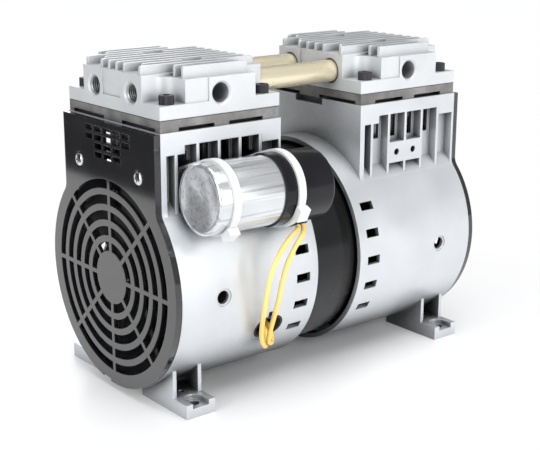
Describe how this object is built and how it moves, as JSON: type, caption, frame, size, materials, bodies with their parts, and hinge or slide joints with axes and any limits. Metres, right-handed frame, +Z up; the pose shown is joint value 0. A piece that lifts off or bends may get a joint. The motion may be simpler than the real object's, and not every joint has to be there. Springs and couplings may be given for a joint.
{
  "type": "rocking-piston vacuum pump",
  "caption": "Oil-free rocking-piston vacuum pump with finned heads on louvred silver housings, black fan covers, gold transfer tubes and a run capacitor tied to its side.",
  "frame": {"origin": "ground level under the middle of the shaft, centre of the four foot holes", "axes": "+X along the shaft, +Y away from the capacitor, +Z up"},
  "size_m": [0.242, 0.1633, 0.198],
  "materials": {
    "housing_paint": "satin",
    "head_paint": "satin",
    "plate_cast": "rough cast",
    "cover_black": "gloss",
    "screw_chrome": "bright",
    "black_steel": "black oxide",
    "bare_aluminium": "machined",
    "gasket_fibre": "matte",
    "bright_steel": "ground",
    "tube_gold": "satin",
    "black_rubber": "matte",
    "stator_lacquer": "black lacquer",
    "winding_copper": "varnished copper",
    "can_aluminium": "drawn, bright",
    "cap_plastic": "matte",
    "white_nylon": "satin",
    "yellow_lead": "satin",
    "cast_grey": "machined",
    "fan_plastic": "satin",
    "seal_ptfe": "filled fluoropolymer"
  },
  "bodies": {
    "pump_body": {"left_housing": "housing_paint", "right_housing": "housing_paint", "left_fan_cover": "cover_black", "right_fan_cover": "cover_black", "left_cover_screws": "screw_chrome", "right_cover_screws": "screw_chrome", "left_cylinder": "bare_aluminium", "right_cylinder": "bare_aluminium", "left_valve_plate": "plate_cast", "right_valve_plate": "plate_cast", "left_head_gasket": "gasket_fibre", "right_head_gasket": "gasket_fibre", "left_cylinder_head": "head_paint", "right_cylinder_head": "head_paint", "left_head_bolts": "black_steel", "right_head_bolts": "black_steel", "left_reed_stop": "bright_steel", "right_reed_stop": "bright_steel", "left_reed_screws": "bright_steel", "right_reed_screws": "bright_steel", "front_transfer_tube": "tube_gold", "rear_transfer_tube": "tube_gold", "tube_o_rings": "black_rubber", "stator_core": "stator_lacquer", "stator_winding": "winding_copper", "stator_bolts": "bright_steel", "left_main_bearing": "bright_steel", "right_main_bearing": "bright_steel", "cable_grommet": "black_rubber", "capacitor_can": "can_aluminium", "capacitor_cap": "cap_plastic", "can_cable_tie": "white_nylon", "cap_cable_tie": "white_nylon", "capacitor_lead_a": "yellow_lead", "capacitor_lead_b": "yellow_lead"},
    "rotor": {"shaft": "bright_steel", "rotor_core": "cast_grey", "left_eccentric": "cast_grey", "right_eccentric": "cast_grey", "left_fan": "fan_plastic", "right_fan": "fan_plastic", "rotor_set_screws": "black_steel"},
    "left_rod_body": {"left_rod": "bare_aluminium", "left_rod_bearing": "bright_steel", "left_cup_seal": "seal_ptfe", "left_cup_retainer": "bright_steel", "left_retainer_screw": "black_steel"},
    "right_rod_body": {"right_rod": "bare_aluminium", "right_rod_bearing": "bright_steel", "right_cup_seal": "seal_ptfe", "right_cup_retainer": "bright_steel", "right_retainer_screw": "black_steel"},
    "left_intake_reed_body": {"left_intake_reed": "bright_steel"},
    "left_exhaust_reed_body": {"left_exhaust_reed": "bright_steel"},
    "right_intake_reed_body": {"right_intake_reed": "bright_steel"},
    "right_exhaust_reed_body": {"right_exhaust_reed": "bright_steel"}
  },
  "joints": [
    {"name": "shaft_spin", "type": "hinge", "parent": "pump_body", "child": "rotor", "pos_m": [0, 0, 0.071], "axis": [1, 0, 0], "continuous": true},
    {"name": "left_rod_pivot", "type": "hinge", "parent": "rotor", "child": "left_rod_body", "pos_m": [-0.074, 0, 0.0665], "axis": [1, 0, 0], "continuous": true},
    {"name": "right_rod_pivot", "type": "hinge", "parent": "rotor", "child": "right_rod_body", "pos_m": [0.074, 0, 0.0755], "axis": [1, 0, 0], "continuous": true},
    {"name": "left_intake_reed_flex", "type": "hinge", "parent": "pump_body", "child": "left_intake_reed_body", "pos_m": [-0.088, -0.015, 0.1653], "axis": [0, 1, 0], "range_deg": [0, 4], "stiffness_Nm_per_rad": 0.02},
    {"name": "left_exhaust_reed_flex", "type": "hinge", "parent": "pump_body", "child": "left_exhaust_reed_body", "pos_m": [-0.088, 0.015, 0.1706], "axis": [0, -1, 0], "range_deg": [0, 4], "stiffness_Nm_per_rad": 0.02},
    {"name": "right_intake_reed_flex", "type": "hinge", "parent": "pump_body", "child": "right_intake_reed_body", "pos_m": [0.06, -0.015, 0.1653], "axis": [0, 1, 0], "range_deg": [0, 4], "stiffness_Nm_per_rad": 0.02},
    {"name": "right_exhaust_reed_flex", "type": "hinge", "parent": "pump_body", "child": "right_exhaust_reed_body", "pos_m": [0.06, 0.015, 0.1706], "axis": [0, -1, 0], "range_deg": [0, 4], "stiffness_Nm_per_rad": 0.02}
  ],
  "couplings": [
    {"joint": "left_rod_pivot", "follows": "shaft_spin", "ratio": -1},
    {"joint": "right_rod_pivot", "follows": "shaft_spin", "ratio": -1}
  ]
}
